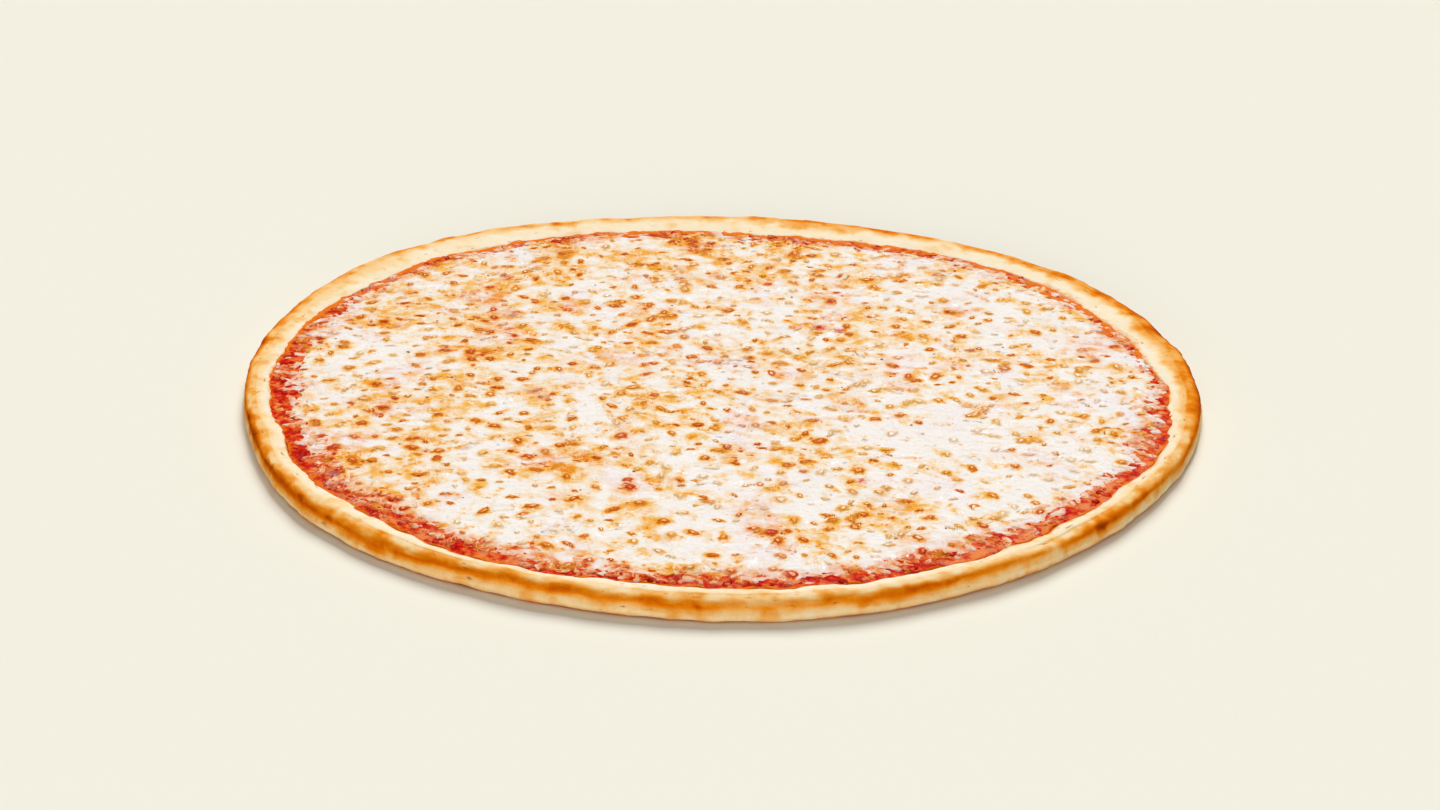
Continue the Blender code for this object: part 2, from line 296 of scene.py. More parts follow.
def patches(xs, ys, places):
    """Sum of round soft patches, from (x, y, radius, amount), the first three in millimetres."""
    total = np.zeros_like(xs)
    for *place, amount in places:
        x, y, radius = [value / 1000 for value in place]
        total += amount * np.exp(-((xs - x) ** 2 + (ys - y) ** 2) / radius ** 2)
    return total


def smooth(values, none, full):
    """0 from one value on, 1 from the other on, and a smooth step between."""
    share = np.clip((values - none) / (full - none), 0.0, 1.0)
    return share * share * (3.0 - 2.0 * share)


def add_object(name, data):
    """A new object in the scene."""
    made = bpy.data.objects.new(name, data)
    bpy.context.scene.collection.objects.link(made)
    return made


def mesh_object(name, points, faces, finish):
    """A smooth closed mesh, its faces pointing out."""
    mesh = bpy.data.meshes.new(name)
    mesh.from_pydata(np.asarray(points).tolist(), [], faces)
    work = bmesh.new()
    work.from_mesh(mesh)
    bmesh.ops.recalc_face_normals(work, faces=work.faces)
    work.to_mesh(mesh)
    work.free()
    mesh.shade_smooth()
    mesh.materials.append(finish)
    return add_object(name, mesh)


def store(piece, name, values):
    """Keeps a number, or a row of three, for each vertex, for the piece's material to read."""
    values = np.asarray(values, dtype=np.float32)
    kind, key = ("FLOAT_VECTOR", "vector") if values.ndim == 2 else ("FLOAT", "value")
    attribute = piece.data.attributes.new(name, kind, "POINT")
    attribute.data.foreach_set(key, values.ravel())


def tube_faces(rows, columns, start=0):
    """Faces of a surface whose last row of points joins its first, with a cap at both ends of the rows.
    The points are numbered row by row from the start number."""
    faces = []
    for row in range(rows):
        here, there = start + row * columns, start + (row + 1) % rows * columns
        faces += [(here + i, there + i, there + i + 1, here + i + 1) for i in range(columns - 1)]
    ends = [start + row * columns for row in range(rows)]
    faces.append(ends)
    faces.append([end + columns - 1 for end in ends][::-1])
    return faces


def from_polar(radius, turns, heights):
    """Points from their radius, angle and height."""
    return np.stack([radius * np.cos(turns), radius * np.sin(turns), heights], axis=-1)


def set_out(radii, heights):
    """Points of a ring surface, row by row for ANGLES, from each column's radius and height. Either may
    be one number or a ring of values."""
    even = np.ones(TURNS)
    across = np.stack([radius * even for radius in radii], axis=1)
    up = np.stack([height * even for height in heights], axis=1)
    return from_polar(across, ANGLES[:, None], up).reshape(-1, 3)


class Nodes:
    """A tree of shader nodes under construction."""

    def __init__(self, tree):
        self.tree = tree

    def node(self, kind, inputs, output=0, **settings):
        made = self.tree.nodes.new(kind)
        for key, value in settings.items():
            setattr(made, key, value)
        for key, value in inputs.items():
            self.feed(made.inputs[key], value)
        return made.outputs[output]

    def feed(self, socket, value):
        if isinstance(value, bpy.types.NodeSocket):
            self.tree.links.new(value, socket)
        else:
            socket.default_value = value

    def maths(self, operation, first, second):
        return self.node("ShaderNodeMath", {0: first, 1: second}, operation=operation)

    def plus(self, first, second):
        return self.maths("ADD", first, second)

    def times(self, first, second):
        return self.maths("MULTIPLY", first, second)


class Shade(Nodes):
    """A material under construction: nodes that lead to one Principled shader."""

    def __init__(self, name, **settings):
        self.material = bpy.data.materials.new(name)
        self.material.use_nodes = True
        super().__init__(self.material.node_tree)
        self.shader = self.tree.nodes["Principled BSDF"]
        self.place = self.node("ShaderNodeTexCoord", {}, "Object")
        for key, value in settings.items():
            self.shader.inputs[key.replace("_", " ")].default_value = value

    def value(self, name, output="Fac"):
        return self.node("ShaderNodeAttribute", {}, output, attribute_name=name)

    def vectors(self, operation, first, second):
        return self.node("ShaderNodeVectorMath", {0: first, 1: second}, operation=operation)

    def lumps(self, size, detail=2.0):
        """Noise from 0 to 1 in lumps of this size in metres."""
        inputs = {"Vector": self.place, "Scale": 1.0 / size, "Detail": detail}
        return self.node("ShaderNodeTexNoise", inputs)

    def centred(self, size, detail, amount):
        """Noise of this amount either side of 0."""
        return self.times(self.maths("SUBTRACT", self.lumps(size, detail), 0.5), amount)

    def strands(self, width, length):
        """Noise from 0 to 1 in streaks of this width and length that cross at several angles."""
        highest = 0.0
        for angle in STRAND_ANGLES:
            turn = {"Vector": self.place, "Angle": radians(angle)}
            turned = self.node("ShaderNodeVectorRotate", turn)
            squeezed = self.vectors("MULTIPLY", turned, (1.0 / length, 1.0 / width, 1.0 / length))
            inputs = {"Vector": squeezed, "Scale": 1.0, "Detail": 2.0, "Distortion": 1.2}
            highest = self.maths("MAXIMUM", self.node("ShaderNodeTexNoise", inputs), highest)
        return highest

    def step(self, value, low, high):
        """0 where the value is low, 1 where it is high, and a smooth step between."""
        inputs = {"Value": value, "From Min": low, "From Max": high}
        return self.node("ShaderNodeMapRange", inputs, interpolation_type="SMOOTHSTEP")

    def mix(self, share, first, second):
        return self.node("ShaderNodeMix", {0: share, 6: first, 7: second}, 2, data_type="RGBA")

    def ramp(self, value, stops):
        made = self.tree.nodes.new("ShaderNodeValToRGB")
        elements = made.color_ramp.elements
        while len(elements) < len(stops):
            elements.new(0.5)
        for element, (place, colour) in zip(elements, stops):
            element.position = place
            element.color = paint(*colour)
        self.tree.links.new(value, made.inputs["Fac"])
        return made.outputs["Color"]

    def bump(self, height, distance, before=None):
        inputs = {"Height": height, "Distance": distance, "Strength": 1.0}
        if before:
            inputs["Normal"] = before
        return self.node("ShaderNodeBump", inputs)

    def finish(self, colour, roughness, normal=None):
        self.feed(self.shader.inputs["Base Color"], colour)
        self.feed(self.shader.inputs["Roughness"], roughness)
        if normal:
            self.feed(self.shader.inputs["Normal"], normal)
        return self.material


def paint(red, green, blue):
    """The base colour that shows as this 8-bit colour on a level surface under the scene's light."""
    shares = [value / 255 for value in (red, green, blue)]
    linear = [((s + 0.055) / 1.055) ** 2.4 if s > 0.04 else s / 12.92 for s in shares]
    return (*[value / LIGHT_LEVEL for value in linear], 1.0)


def dough_material():
    """Baked dough: pale cream to golden and dark brown by how baked it is, with oil stains and pores."""
    shade = Shade("baked_dough", IOR=1.4, Specular_IOR_Level=0.02)
    fine = shade.centred(0.0011, 3.0, 1.0)
    bake = shade.plus(shade.value("bake"), shade.centred(0.006, 4.0, 0.24))
    colour = shade.ramp(shade.plus(bake, shade.times(fine, 0.14)), DOUGH_TONES)
    oil = shade.step(shade.plus(shade.value("oil"), shade.centred(0.003, 4.0, 1.0)), 0.30, 0.95)
    colour = shade.mix(shade.times(oil, 0.85), colour, paint(240, 150, 44))
    pore = shade.step(shade.plus(shade.value("pore"), shade.times(fine, 0.6)), 0.40, 0.85)
    colour = shade.mix(shade.times(pore, 0.75), colour, paint(176, 96, 30))
    roughness = shade.maths("SUBTRACT", 0.90, shade.times(oil, 0.6))
    return shade.finish(colour, roughness, shade.bump(shade.lumps(0.0016, 4.0), 0.00025))


def sauce_material():
    """Wet chopped tomato sauce: deep red, pink and orange scraps, and orange oil at the outer edge."""
    shade = Shade("tomato_sauce", IOR=1.4, Specular_IOR_Level=0.01)
    pick = shade.plus(shade.lumps(0.0060, 4.0), shade.centred(0.0020, 1.0, 0.45))
    colour = shade.ramp(pick, SAUCE_TONES)
    milky = shade.step(shade.plus(shade.value("milky"), shade.centred(0.0034, 2.0, 2.4)), 0.2, 0.9)
    colour = shade.mix(shade.times(milky, 0.85), colour, paint(240, 142, 78))
    edge = shade.plus(shade.value("thin"), shade.centred(0.0030, 3.0, 1.2))
    colour = shade.mix(shade.step(edge, 0.45, 1.0), colour, paint(240, 122, 12))
    return shade.finish(colour, 0.15, shade.bump(shade.lumps(0.0020, 3.0), 0.0006))


def blister_reach(shade):
    """Distance from the nearest blister's middle in its radii, with the blister's outline made uneven."""
    inputs = {"Vector": shade.place, "Scale": 420.0, "Detail": 2.0}
    warp = shade.vectors("SUBTRACT", shade.node("ShaderNodeTexNoise", inputs, "Color"), (0.5, 0.5, 0.5))
    warp = shade.vectors("MULTIPLY", warp, (1.5, 1.5, 0.0))
    local = shade.vectors("ADD", shade.value("blister", "Vector"), warp)
    return shade.node("ShaderNodeVectorMath", {0: local}, "Value", operation="LENGTH")


def washed_tone(shade, fine, strands):
    """The tone away from blisters: the sheet's own wash with noise and flecks, paler along strands."""
    tone = shade.plus(shade.value("wash"), shade.centred(0.0070, 5.0, 1.8))
    tone = shade.maths("MAXIMUM", shade.plus(tone, shade.times(fine, 0.2)), 0.0)
    tone = shade.plus(tone, shade.times(shade.step(shade.lumps(0.0036, 2.0), 0.58, 0.74), 0.45))
    threads = shade.times(shade.step(strands, 0.55, 0.68), 0.42)
    return shade.times(tone, shade.maths("SUBTRACT", 1.0, threads))


def blister_tone(shade, away):
    """What a blister adds to the tone: a halo, the blister, a darker ring and, in some, a pale middle that
    is a painted highlight.
    """
    brown = shade.value("brown")
    halo = shade.times(shade.step(away, 2.3, 0.8), shade.times(shade.plus(brown, 0.5), 0.36))
    spot = shade.times(shade.step(away, 1.25, 0.80), shade.plus(0.12, shade.times(brown, 0.34)))
    ring = shade.times(shade.step(away, 0.20, 0.45), shade.step(away, 0.95, 0.60))
    ring = shade.times(ring, shade.times(brown, 0.32))
    # Painted highlight: a pale middle in some blisters stands in for the shine on their tops
    middle = shade.times(shade.step(away, 0.45, 0.15), shade.step(shade.lumps(0.010, 0.0), 0.40, 0.55))
    total = shade.plus(shade.plus(halo, spot), shade.times(middle, -0.40))
    return shade.maths("MINIMUM", shade.plus(total, ring), 0.84)


def cheese_colour(shade, tone, fine):
    """Colour from the tone, firm or rosy, with yellow patches, grey-lilac patches of painted shade, and
    sauce in bare places.
    """
    rosy = shade.step(shade.plus(shade.value("rosy"), shade.centred(0.012, 4.0, 2.0)), 0.1, 0.9)
    colour = shade.mix(rosy, shade.ramp(tone, FIRM_TONES), shade.ramp(tone, ROSY_TONES))
    yellow = shade.times(shade.step(shade.lumps(0.007, 3.0), 0.55, 0.70), shade.step(tone, 0.20, 0.50))
    colour = shade.mix(shade.times(yellow, 0.45), colour, paint(250, 190, 60))
    # Painted shade: soft grey-lilac patches over the white, standing in for the shade between lumps
    painted_shade = shade.times(shade.step(shade.lumps(0.018, 3.0), 0.58, 0.70), 0.20)
    colour = shade.mix(painted_shade, colour, paint(226, 222, 226))
    bare = shade.step(shade.plus(shade.value("bare"), shade.times(fine, 0.8)), 0.35, 0.9)
    pulp = shade.step(shade.lumps(0.0020, 2.0), 0.40, 0.60)
    return shade.mix(bare, colour, shade.mix(pulp, paint(200, 34, 10), paint(238, 136, 76)))


def cheese_material():
    """Melted cheese: creamy white, washed golden or rosy, with browned flecks and blisters."""
    shade = Shade("melted_cheese", IOR=1.4, Specular_IOR_Level=0.07)
    fine = shade.centred(0.0016, 3.0, 1.0)
    strands = shade.strands(STRAND_WIDTH, STRAND_LENGTH)
    away = blister_reach(shade)
    tone = washed_tone(shade, fine, strands)
    room = shade.maths("SUBTRACT", 1.0, shade.maths("MINIMUM", tone, 1.0))
    tone = shade.plus(tone, shade.times(room, blister_tone(shade, away)))
    wet = shade.plus(shade.step(away, 0.9, 0.3), shade.step(shade.lumps(0.0060, 3.0), 0.56, 0.66))
    roughness = shade.maths("SUBTRACT", 0.85, shade.times(shade.maths("MINIMUM", wet, 1.0), 0.70))
    normal = shade.bump(shade.plus(strands, shade.lumps(0.0026, 2.0)), 0.0006)
    normal = shade.bump(shade.step(away, 1.2, 0.3), 0.0005, normal)
    return shade.finish(cheese_colour(shade, tone, fine), roughness, normal)


def scrap_material(name, tones, size):
    """Small cooked scraps: a colour for each by its own "tint" number, mottled, and a wet shine."""
    shade = Shade(name, IOR=1.4, Specular_IOR_Level=0.02)
    pick = shade.plus(shade.value("tint"), shade.centred(size, 3.0, 0.5))
    normal = shade.bump(shade.lumps(size, 3.0), 0.0003)
    return shade.finish(shade.ramp(pick, tones), 0.2, normal)


def floor_material():
    """Smooth cream studio paper."""
    shade = Shade("studio_paper", IOR=1.3, Specular_IOR_Level=0.0)
    colour = shade.mix(shade.lumps(0.4, 1.0), paint(243, 240, 225), paint(243.4, 240.4, 225.6))
    return shade.finish(colour, 0.9)


def arc(centre, radii, start, end, steps):
    """Points (across, height) along an elliptic arc between two angles in degrees."""
    turns = np.radians(np.linspace(start, end, steps))
    return [(centre[0] + radii[0] * cos(t), centre[1] + radii[1] * sin(t)) for t in turns]


def side_section():
    """Outer side of the rim from its crest down: (distance beyond the crest, height)."""
    roll = CREASE_HEIGHT + ROLL_LIFT
    bulge = (CREST_INSET - FOOT_INSET, BULGE_HEIGHT)
    section = arc((0.0, roll), (CREST_INSET - ROLL_INSET, RIM_HEIGHT - roll), 90, -8, 16)
    section += arc(bulge, (FOOT_INSET, CREASE_HEIGHT - BULGE_HEIGHT), 32, 0, 6)
    section += arc(bulge, (FOOT_INSET, BULGE_HEIGHT), 0, -90, 10)[1:]
    return section


def floor_columns(pocket):
    """Columns of the floor under the sauce and the wall up to the lip. A column here and below is its
    radius, height, place along the section and unevenness."""
    columns = [(pocket * share, DOUGH_FLOOR, 0.0, 0.0) for share in FLOOR_SHARES]
    columns.append((pocket - WALL_SLOPE, DOUGH_FLOOR, 0.0, 0.0))
    columns.append((pocket - WALL_SLOPE / 2, (DOUGH_FLOOR + LIP_HEIGHT) / 2, 0.0, 0.0))
    columns.append((pocket, LIP_HEIGHT - GAP, 0.0, 0.2))
    return columns


def lip_columns(pocket, crest, lift):
    """Columns of the flat lip, which rises towards the crest."""
    columns = []
    for share in np.linspace(0.04, 0.96, LIP_COLUMNS):
        rise = (RIM_HEIGHT - LIP_HEIGHT) * (1.0 - (1.0 - share) ** 2)
        columns.append((pocket + share * (crest - pocket), LIP_HEIGHT + rise * lift, share, 1.0))
    return columns


def side_columns(crest, side, lift, shift):
    """Columns of the crest and the creased side, with the crease higher or lower by angle."""
    columns = []
    for across, height in side_section():
        middle = sin(pi * height / RIM_HEIGHT)
        tall = height * (1.0 + (lift - 1.0) * height / RIM_HEIGHT) + 0.6 * shift * middle
        columns.append((crest + across * side / CREST_INSET, tall, 2.0 - height / RIM_HEIGHT, 1.0))
    return columns


def uneven_dough(piece, points, relief, pore):
    """Moves the points along their normals by a soft swell and the pores, and keeps the base flat."""
    raised = np.tile(relief, TURNS) * (rough_layers(points, DOUGH_SWELL) - 0.00025 * pore)
    points = points + mesh_rows(piece.data, "normal") * raised[:, None]
    points[:, 2] = np.maximum(points[:, 2], 0.0)
    piece.data.vertices.foreach_set("co", points.ravel())
    return points


def oil_soak(points, columns):
    """How oily the dough is at each point: only on the lip, in stains beside the sauce."""
    outside = np.hypot(points[:, 0], points[:, 1]) - np.repeat(SAUCE_RIM, columns)
    stain = 0.0018 + 0.0050 * np.maximum(0.0, ring_noise(30, 6.6)) + bumps(OIL_STAINS)
    oil = np.clip(1.0 - outside / np.repeat(stain, columns), 0.0, 1.0)
    return oil * (points[:, 2] > CREASE_HEIGHT)


def make_crust():
    """The dough: the floor under the sauce, the flat lip, the crest, the creased side and the base."""
    rim = RIM_EDGE + bumps(PLEATS) + ring_layers(RIM_RIPPLE)
    pocket = SAUCE_RIM + GAP
    side = CREST_INSET * np.minimum(1.0, (rim - SAUCE_RIM) / NARROW_RIM)
    crest = rim - side
    lift = 1.0 + ring_layers(RIM_LIFT)
    shift = bumps(CREASE_SHIFTS) + ring_layers(CREASE_WANDER)
    columns = floor_columns(pocket) + lip_columns(pocket, crest, lift)
    columns += side_columns(crest, side, lift, shift)
    columns += [((rim - FOOT_INSET) * share, 0.0, 2.0, 0.0) for share in BASE_SHARES]
    radii, heights, places, relief = zip(*columns)
    points = set_out(radii, heights)
    piece = mesh_object("dough_crust", points, tube_faces(TURNS, len(columns)), dough_material())
    pore = pores(points, relief)
    points = uneven_dough(piece, points, relief, pore)
    store(piece, "bake", dough_bake(points, np.array(places), shift))
    store(piece, "oil", oil_soak(points, len(columns)))
    store(piece, "pore", pore)
    return piece


def bake_wander(points, place, shift):
    """How far the browning strays along the section, so that its bands are ragged and follow the crease."""
    ragged = 0.07 * rough(points, 0.012, 21.0, 3)
    ragged += 0.10 * rough(points * (1.0, 1.0, STREAKS), 0.010, 22.0, 3)
    ragged += CREASE_PULL * shift * smooth(place, 1.0, 1.2)
    return ragged * smooth(place, 0.0, 0.6) * smooth(place, 2.0, 1.8)


def golden_lip(strayed, columns):
    """Gold on the outer part of the lip at the back and the sides, reaching inwards at LIP_BROWNING."""
    golden = 0.16 + 0.06 * np.cos(ANGLES) + 0.06 * np.sin(ANGLES)
    golden *= smooth(np.sin(ANGLES), -0.8, -0.1)
    reach = 0.60 - 0.35 * smooth(ring_noise(14, 9.9) + bumps(LIP_BROWNING), 0.0, 0.6)
    return np.repeat(golden, columns) * smooth(strayed - np.repeat(reach, columns), 0.0, 0.45)


def bake_mottle(points):
    """Blotches of three sizes."""
    mottle = 0.06 * rough(points, 0.020, 1.0, 2)
    mottle += 0.16 * smooth(rough(points, 0.011, 7.0, 3), 0.15, 0.7)
    mottle += 0.12 * smooth(rough(points, 0.005, 4.0, 2), 0.25, 0.8)
    return mottle - 0.03


def dough_bake(points, places, shift):
    """How baked the dough is at each point, from its column's place along the section."""
    columns = len(places)
    place = np.tile(places, TURNS)
    wander = bake_wander(points, place, np.repeat(shift, columns))
    bake = np.interp(place + wander, BAKE_PLACES, BAKES)
    bake += golden_lip(place + 2.0 * wander, columns) * smooth(place, 1.5, 1.2)
    band = np.repeat(0.96 + ring_layers(BAND_STRENGTH) + bumps(SCORCHES), columns)
    baked = LEAST_BAKED + (bake - LEAST_BAKED) * band + bake_mottle(points) * smooth(place, -0.1, 0.3)
    return np.clip(baked, 0.0, 1.0)


def pores(points, relief):
    """Small pits and slits over the dough, 1 at the middle of each and 0 away from it."""
    draw = random.Random(31)
    columns = len(relief)
    shown = [i for i in range(columns) if relief[i] > 0.5]
    depth = np.zeros(len(points))
    for _ in range(PORES):
        row = draw.randrange(TURNS)
        centre = points[row * columns + draw.choice(shown)]
        radius = draw.uniform(0.0003, 0.0007)
        length = radius * draw.uniform(1.0, 6.0)
        rows = np.arange(row - 6, row + 7) % TURNS
        near = (rows[:, None] * columns + np.arange(columns)).ravel()
        apart = points[near] - centre
        along = np.array((-sin(ANGLES[row]), cos(ANGLES[row]), 0.0))
        lengthwise = apart @ along
        across = np.maximum(0.0, (apart ** 2).sum(axis=1) - lengthwise ** 2)
        share = (lengthwise / length) ** 2 + across / radius ** 2
        depth[near] = np.maximum(depth[near], draw.uniform(0.5, 1.0) * np.exp(-share))
    return depth


def make_sauce():
    """The sauce: hidden under the cheese, lumpy in the ring, and thin over the lip of the dough."""
    outer = SAUCE_RIM + SAUCE_OVERLAP + ring_layers(SAUCE_SPLASHES)
    inner = MELT_EDGE - 0.006
    columns = [(inner * share, SAUCE_FLOOR + 0.0019, 0.0, 0.0) for share in (0.3, 0.8)]
    columns.append((inner, SAUCE_TOP - 0.0014, 0.0, 0.0))
    for share in np.linspace(0.0, 1.0, RING_COLUMNS):
        radius = inner + (outer - inner) * (0.1 + 0.9 * share)
        columns.append((radius, SAUCE_TOP - 0.0001 * share, share ** 4, 1.0 - 0.5 * share ** 3))
    columns.append((outer + 0.0002, LIP_HEIGHT - 0.0002, 1.0, 0.0))
    columns.append((SAUCE_RIM - 0.0002, LIP_HEIGHT - 0.0008, 1.0, 0.0))
    columns.append((SAUCE_RIM - WALL_SLOPE, SAUCE_FLOOR, 0.0, 0.0))
    columns += [(inner * share, SAUCE_FLOOR, 0.0, 0.0) for share in (0.8, 0.3)]
    radii, heights, thin, lumpy = zip(*columns)
    points = set_out(radii, heights)
    lumps = 0.00045 * rough(points, 0.0042, 2.0, 2) + 0.0004 * np.abs(rough(points, 0.0022, 6.0))
    points[:, 2] += np.tile(lumpy, TURNS) * lumps
    piece = mesh_object("tomato_sauce", points, tube_faces(TURNS, len(columns)), sauce_material())
    oily = 0.70 * smooth(np.sin(ANGLES), -0.1, 0.4) + 0.3 * ring_noise(24, 13.5)
    store(piece, "thin", np.tile(thin, TURNS) + np.repeat(oily, len(columns)))
    milky = 0.1 + 0.9 * rough(points, 0.010, 14.0, 2) + np.repeat(bumps(MILKY), len(columns))
    store(piece, "milky", milky)
    return piece


def disc_grid(count):
    """A square grid of points laid over the unit disc in even cells: shares of the radius, and angles."""
    line = np.linspace(-1.0, 1.0, count)
    u, v = [values.ravel() for values in np.meshgrid(line, line)]
    wide = np.abs(u) > np.abs(v)
    safe_u = np.where(u == 0.0, 1e-9, u)
    safe_v = np.where(v == 0.0, 1e-9, v)
    turns = np.where(wide, pi / 4 * v / safe_u, pi / 2 - pi / 4 * u / safe_v)
    turns += pi * np.where(wide, u < 0.0, v < 0.0)
    return np.maximum(np.abs(u), np.abs(v)), turns % tau


def border(count):
    """Indices of the grid's outer points, once round."""
    grid = np.arange(count * count).reshape(count, count)
    return np.concatenate([grid[0, :-1], grid[:-1, -1], grid[-1, :0:-1], grid[:0:-1, 0]]).tolist()


def tree_of(solid):
    return BVHTree.FromObject(solid, bpy.context.evaluated_depsgraph_get())


def top_heights(trees, xs, ys):
    """Height of the highest surface over each point."""
    down = Vector((0.0, 0.0, -1.0))
    heights = []
    for x, y in zip(xs.tolist(), ys.tolist()):
        hits = [tree.ray_cast(Vector((x, y, 0.1)), down)[0] for tree in trees]
        heights.append(max([hit.z for hit in hits if hit], default=0.0))
    return np.array(heights)


def smoothed(grid, half):
    """Running mean over both ways of a grid, its edges held."""
    for _ in range(2):
        padded = np.pad(grid, ((half, half), (0, 0)), mode="edge")
        total = np.cumsum(np.vstack([np.zeros((1, grid.shape[1])), padded]), axis=0)
        grid = ((total[2 * half + 1:] - total[:-2 * half - 1]) / (2 * half + 1)).T
    return grid


def solid_blisters():
    """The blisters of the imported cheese, as (x, y, radius): points that stand well above all their
    neighbours."""
    work = bmesh.new()
    work.from_mesh(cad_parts["cheese"].data)
    bmesh.ops.remove_doubles(work, verts=work.verts, dist=0.00002)
    found = []
    for vertex in work.verts:
        others = [edge.other_vert(vertex).co for edge in vertex.link_edges]
        drops = [vertex.co.z - other.z for other in others]
        spans = [(vertex.co - other).xy.length for other in others]
        if min(drops) > 0.0001 and max(spans) < 0.004:
            found.append((vertex.co.x, vertex.co.y, 0.8 * max(spans)))
    work.free()
    return found


def all_blisters():
    """The solid's large blisters and many smaller ones spread evenly between them."""
    draw = random.Random(5)
    places = solid_blisters()
    while len(places) < BLISTERS:
        known = np.array(places)
        best, best_space = None, -1.0
        for _ in range(BLISTER_TRIES):
            angle = draw.random() * tau
            radius = (at_angle(MELT_EDGE, angle) - 0.003) * sqrt(draw.random())
            x, y = radius * cos(angle), radius * sin(angle)
            space = np.min(np.hypot(known[:, 0] - x, known[:, 1] - y) - 1.5 * known[:, 2])
            if space > best_space:
                best, best_space = (x, y), space
        least, most = BLISTER_SIZES
        places.append((*best, least + (most - least) * draw.random() ** 1.5))
    return places


def nearest_blister(xs, ys, places):
    """For each point, its place beside the nearest blister in that blister's radii, its distance from it
    and its number. The third coordinate grows away from a blister, so that values between two never
    pass through the middle of one."""
    shape = np.full((len(xs), 3), BLISTER_FAR)
    closest = np.full(len(xs), BLISTER_FAR)
    number = np.full(len(xs), -1)
    for i, (x, y, radius) in enumerate(places):
        reach = BLISTER_FAR * radius
        near = np.nonzero((np.abs(xs - x) < reach) & (np.abs(ys - y) < reach))[0]
        along, stretch = BLISTER_TURN * i, BLISTER_STRETCH ** sin(i)
        east, north = (xs[near] - x) / radius, (ys[near] - y) / radius
        dx = (east * cos(along) + north * sin(along)) * stretch
        dy = (north * cos(along) - east * sin(along)) / stretch
        away = np.hypot(dx, dy)
        nearer = away < closest[near]
        chosen = near[nearer]
        closest[chosen] = away[nearer]
        number[chosen] = i
        shape[chosen, 0] = dx[nearer]
        shape[chosen, 1] = dy[nearer]
        shape[chosen, 2] = BLISTER_FAR * smooth(away[nearer], 1.4, 2.4)
    return shape, closest, number


def beside_edge(xs, ys):
    """How far inside the cheese's edge each place is, and whether it is at the front, from 0 to 1."""
    inside = at_angle(MELT_EDGE, np.arctan2(ys, xs)) - np.hypot(xs, ys)
    return inside, smooth(-ys, 0.06, 0.14)


def cheese_tones(xs, ys):
    """How golden the cheese is at each place, and how much the sauce shines through."""
    flat = np.stack([xs, ys, np.zeros_like(xs)], axis=1)
    inside, front = beside_edge(xs, ys)
    edge = smooth(inside, 0.014, 0.0)
    wash = 0.24 - 0.40 * xs + 0.45 * np.maximum(0.0, ys) + 0.34 * rough(flat, 0.022, 30.0, 3)
    wash += 0.30 * patches(xs, ys, GOLDEN) - 0.25 * patches(xs, ys, WHITE)
    wash += (0.14 + 0.24 * front) * edge
    rosy = 0.12 + 0.8 * rough(flat, 0.030, 20.0, 2) + (0.6 + 0.4 * front) * edge
    return wash, rosy


def cheese_level(radius, turns):
    """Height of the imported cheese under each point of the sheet, with its blisters smoothed away."""
    known = np.minimum(radius, at_angle(CHEESE_EDGE, turns) - 0.002)
    packed = [tree_of(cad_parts["cheese"])]
    level = top_heights(packed, known * np.cos(turns), known * np.sin(turns))
    level = level.reshape(CHEESE_GRID, CHEESE_GRID)
    for _ in range(3):
        level = smoothed(level, 5)
    return level.ravel()


def blister_looks(places):
    """How brown each blister is, more where the cheese is golden, and how far it rises, with a last row
    for points that are near none."""
    draw = random.Random(17)
    xs, ys = np.array(places)[:, :2].T
    around, _ = cheese_tones(xs, ys)
    browns = [min(1.0, max(0.0, draw.gauss(0.18, 0.22) + 0.75 * tone)) for tone in around]
    rises = [0.00035 + 0.16 * size * draw.uniform(0.5, 1.0) for _, _, size in places]
    return np.array(browns + [0.0]), np.array(rises + [0.0])


def closed_sheet(radius, turns, zs):
    """Points and faces of a sheet over the grid with a rounded edge and a flat underside, and the number
    of the grid point that each of its points belongs to."""
    count = CHEESE_GRID
    faces = [(r * count + c, r * count + c + 1, (r + 1) * count + c + 1, (r + 1) * count + c)
             for r in range(count - 1) for c in range(count - 1)]
    ring = border(count)
    previous = ring
    points = [from_polar(radius, turns, zs)]
    source = list(range(count * count))
    for outwards, drop in CHEESE_ROUNDING:
        height = zs[ring] - drop if drop else np.full(len(ring), CHEESE_UNDER)
        points.append(from_polar(radius[ring] + outwards, turns[ring], height))
        new = list(range(len(source), len(source) + len(ring)))
        source += ring
        faces += [(previous[i - 1], previous[i], new[i], new[i - 1]) for i in range(len(ring))]
        previous = new
    faces.append(previous)
    return np.concatenate(points), faces, source


